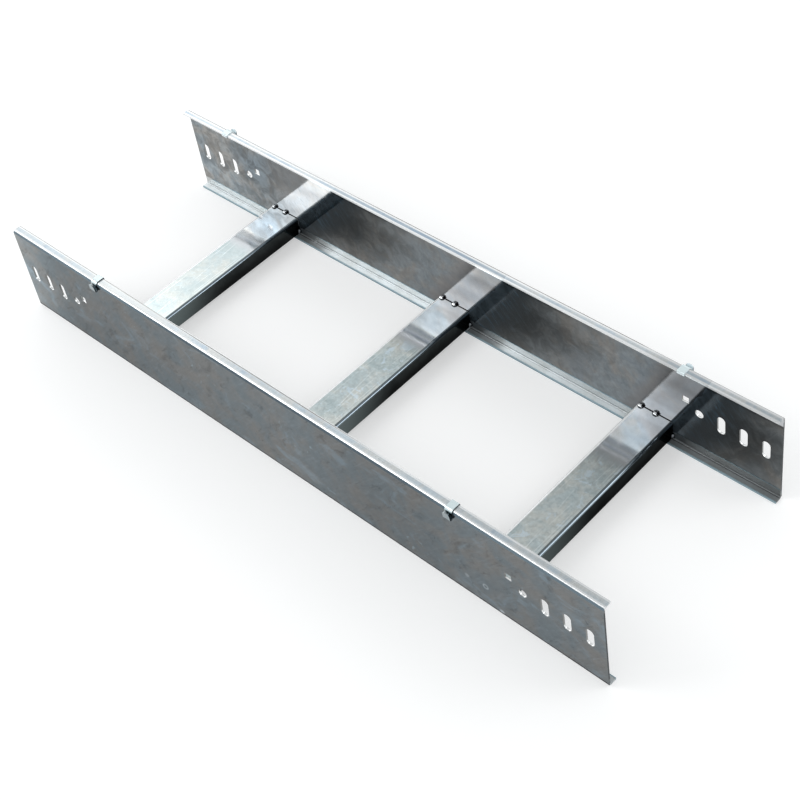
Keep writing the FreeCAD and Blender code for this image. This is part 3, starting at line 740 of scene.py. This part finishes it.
# %% Rungs
def rung_zinc():
    paint = Paint("rung_zinc")
    place = paint.place()
    x, y, z = paint.split(place)
    up = paint.facing()[2].over(0.15, 0.6)
    across = (x + 1.5 * RUNG_PITCH).past(RUNG_PITCH) - 0.5 * RUNG_PITCH
    top, cloud = rung_top(paint, place, x, y, across)
    top, left_edge = rung_edges(paint, z, top, across)
    # Painted shade: side walls almost black, darker low, lighter towards the near end, darker on
    # the last rung.
    side = paint.mix(z.over(0.008, 0.020), (0.013, 0.014, 0.014), (0.026, 0.030, 0.030))
    side = paint.shade(side, 1.0 + 0.4 * (cloud - 0.5))
    side = paint.mix(y.under(-0.08, 0.01), side, (0.14, 0.17, 0.17))
    side = paint.shade(side, 1.0 - 0.25 * x.over(0.1, 0.2))
    colour, bead = weld_marks(paint, paint.mix(up, side, top), y.size(), z, across, up)
    wave = stretched(paint, place, (20.0, 9.0, 20.0), 2.0, 0.5)
    return paint.finish(paint.node(
        "BsdfPrincipled", {}, Base_Color=colour, Metallic=1.0 - bead - 0.8 * left_edge * up,
        Roughness=0.08 + 0.05 * cloud + 0.3 * bead, Normal=dented(paint, wave),
        Specular_Tint=EDGE_TINT,
    ))


rung_metal = rung_zinc()
print(rung_metal.name, "has", len(rung_metal.node_tree.nodes), "nodes")

# %% [markdown]
# ## The clips
#
# The clips are thin bright sheet. The strap over the flange is painted almost white where it looks
# up, as a painted highlight, the finger tab in front of the web is a lighter grey than the web, and
# the sides that look to the right are painted dark as painted shade. On the far rail the tabs stand
# behind the flange and are painted pale all over, as a painted highlight.

# %% Clips
def clip_zinc():
    paint = Paint("clip_zinc")
    place = paint.place()
    _, y, z = paint.split(place)
    right, _, up = paint.facing()
    tones = ((0.29, 0.35, 0.375), (0.35, 0.385, 0.395), (0.24, 0.31, 0.34))
    body, cloud = clouded(paint, place, tones, 160.0)
    # Painted highlight: the strap's faces that look up are painted almost white.
    strap = up.over(0.2, 0.6) * y.size().under(WEB_OUTSIDE + 0.0002, WEB_OUTSIDE + 0.0007)
    body = paint.mix(strap, body, (0.74, 0.84, 0.86))
    far = y.over(-0.1, 0.1)
    # Painted highlight: the far clips are painted pale all over, apart from the strap.
    pale = far * (1.0 - strap)
    body = paint.mix(pale, body, (0.84, 0.92, 0.95))
    # Painted shade on faces that look to the right, darkest high on the near clips.
    shaded = right.over(0.4, 0.8) * (1.0 - far * z.over(0.1030, 0.1050) * 0.8)
    upper = z.over(0.0990, 0.1010) * (1.0 - far)
    sides = paint.mix(upper, (0.060, 0.085, 0.100), (0.012, 0.022, 0.030))
    return paint.finish(paint.node(
        "BsdfPrincipled", {}, Base_Color=paint.mix(shaded, body, sides),
        Metallic=1.0 - 0.7 * strap - 0.8 * pale, Roughness=0.16 + 0.1 * cloud,
    ))


clip_metal = clip_zinc()
print(clip_metal.name, "has", len(clip_metal.node_tree.nodes), "nodes")

# %% [markdown]
# ## Finishes on the pieces
#
# The frame's pieces already have the right shape and stay as they are. Each only swaps its plain
# material for the finish that its name begins with.

# %% Finishes
finishes = {
    "rail_near": near_zinc, "rail_far": far_zinc, "rung": rung_metal, "clip": clip_metal,
}
for name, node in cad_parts.items():
    metal = next(finish for start, finish in finishes.items() if name.startswith(start))
    node.data.materials.clear()
    node.data.materials.append(metal)
    print(name, "gets", metal.name)

# %% [markdown]
# ## Floor
#
# A plain pale floor, large enough that its edge is never in the picture. It is white paper that
# gives off a little light of its own towards the camera and the mirrors in the metal, so that the
# open paper is white while the ladder's soft shadow stays on it. It lies a hair below the rails'
# feet, so that the two don't flicker through each other.

# %% Floor
FLOOR_SIZE = 12.0
FLOOR_DROP = 0.0002
FLOOR_LIFT = 0.45
CAMERA_RAY, GLOSSY_RAY, TRANSMISSION_RAY = 0, 3, 6

floor_mesh = bpy.data.meshes.new("floor")
shape = bmesh.new()
bmesh.ops.create_grid(shape, x_segments=1, y_segments=1, size=FLOOR_SIZE)
bmesh.ops.translate(shape, verts=shape.verts, vec=(0.0, 0.0, -FLOOR_DROP))
shape.to_mesh(floor_mesh)
shape.free()
floor = bpy.data.objects.new("floor", floor_mesh)
bpy.context.scene.collection.objects.link(floor)

paint = Paint("floor_paper")
paper = paint.node("BsdfDiffuse", {}, Color=(0.64, 0.64, 0.64, 1.0))
seen = paint.node("LightPath", {}, out=CAMERA_RAY) + paint.node("LightPath", {}, out=GLOSSY_RAY)
seen = seen + paint.node("LightPath", {}, out=TRANSMISSION_RAY)
lift = paint.node("Emission", {}, (1.0, 1.0, 1.0, 1.0), FLOOR_LIFT * seen)
floor_mesh.materials.append(paint.finish(paint.node("AddShader", {}, paper, lift)))
print("the floor lies", FLOOR_DROP, "m below the feet")

# %% [markdown]
# ## Light
#
# The room is bright near the horizon and darker overhead, so the level metal, which mirrors the
# room behind the left end, turns from near white at the left to grey at the right, where the
# camera looks down more steeply. A wide softbox at the left lifts the first rung and the rails'
# left ends. A smaller and brighter one at the front left draws the white line along every bend and
# lights the far rail's picture of the rungs, and a small lamp at the back right draws the thin
# line on the rungs' right bends.

# %% Room
room = bpy.data.worlds.new("room")
bpy.context.scene.world = room
paint = Paint("room", room, "OutputWorld")
sky = paint.split(paint.node("TexCoord", {}, out=0))[2]
steps = (
    (0.0, 0.95), (0.5, 0.98), (0.574, 0.92), (0.643, 0.80), (0.707, 0.71), (0.766, 0.58),
    (0.819, 0.48), (1.0, 0.5),
)
tint = (0.96, 0.99, 1.0)
stops = [(at, tuple(level * part for part in tint)) for at, level in steps]
paint.finish(paint.node("Background", {}, paint.node("ValToRGB", {"stops": stops}, sky), 1.0))
print("the room's light has", len(steps), "steps from the horizon up")


# %% Softboxes
def softbox(name, toward, up, away, width, height, radiance):
    """A flat lamp that looks as bright as its radiance.

    It stands away metres off, toward a compass direction and up, both in degrees.
    """
    level = math.cos(math.radians(up))
    place = away * Vector((
        level * math.cos(math.radians(toward)),
        level * math.sin(math.radians(toward)),
        math.sin(math.radians(up)),
    ))
    lamp = bpy.data.lights.new(name, "AREA")
    lamp.shape = "RECTANGLE"
    lamp.size = width
    lamp.size_y = height
    lamp.energy = radiance * math.pi * width * height
    holder = bpy.data.objects.new(name, lamp)
    bpy.context.scene.collection.objects.link(holder)
    aim = (-place).to_track_quat("-Z", "Y")
    holder.matrix_world = Matrix.Translation(place) @ aim.to_matrix().to_4x4()
    print(name, "shines", round(lamp.energy), "W")


softbox("left_softbox", 163.0, 24.0, away=2.6, width=1.6, height=1.9, radiance=0.92)
softbox("front_left_softbox", 221.0, 43.5, away=3.0, width=1.5, height=1.4, radiance=3.6)
softbox("right_back_lamp", 35.3, 34.5, away=2.0, width=0.8, height=0.75, radiance=2.5)

# %% [markdown]
# ## Colour
#
# Colours are shown as they are written.

bpy.context.scene.view_settings.view_transform = "Standard"
